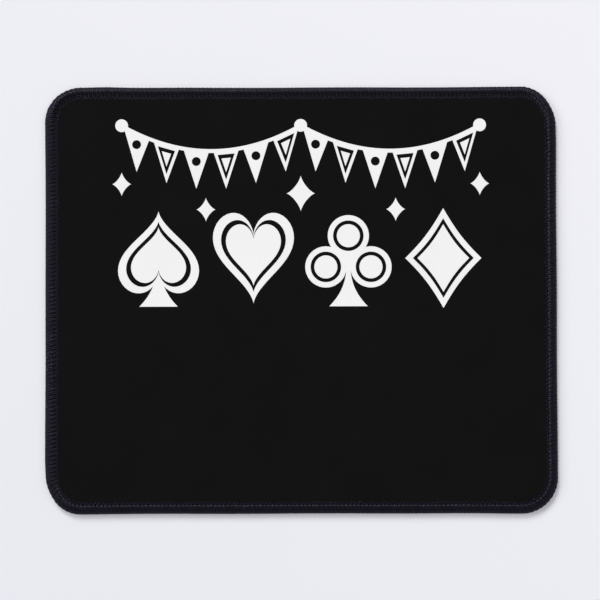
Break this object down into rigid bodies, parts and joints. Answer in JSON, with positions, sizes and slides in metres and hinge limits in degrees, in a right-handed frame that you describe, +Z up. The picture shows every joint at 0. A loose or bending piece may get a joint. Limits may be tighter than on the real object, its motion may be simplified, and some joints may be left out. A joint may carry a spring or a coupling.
{
  "type": "mouse pad",
  "caption": "Thin rectangular desk mat for a computer mouse: printed cloth bonded to foam rubber, with rounded corners and a rolled overlocked edge.",
  "frame": {"origin": "middle of the underside, on the desk", "axes": "+X to the right along the width, +Y away from the user along the depth, +Z up out of the printed cloth"},
  "size_m": [0.24, 0.2, 0.0031],
  "materials": {
    "cloth": "fine matte weave",
    "film": "thin hot-melt film",
    "foam_rubber": "matte, with a fine grip texture",
    "looper_thread": "soft bulked yarn",
    "needle_thread": "tight twisted thread"
  },
  "bodies": {
    "root": {"rubber_base": "foam_rubber", "bonding_film": "film", "printed_cloth": "cloth", "upper_looper_thread": "looper_thread", "lower_looper_thread": "looper_thread", "needle_thread": "needle_thread"}
  },
  "joints": []
}
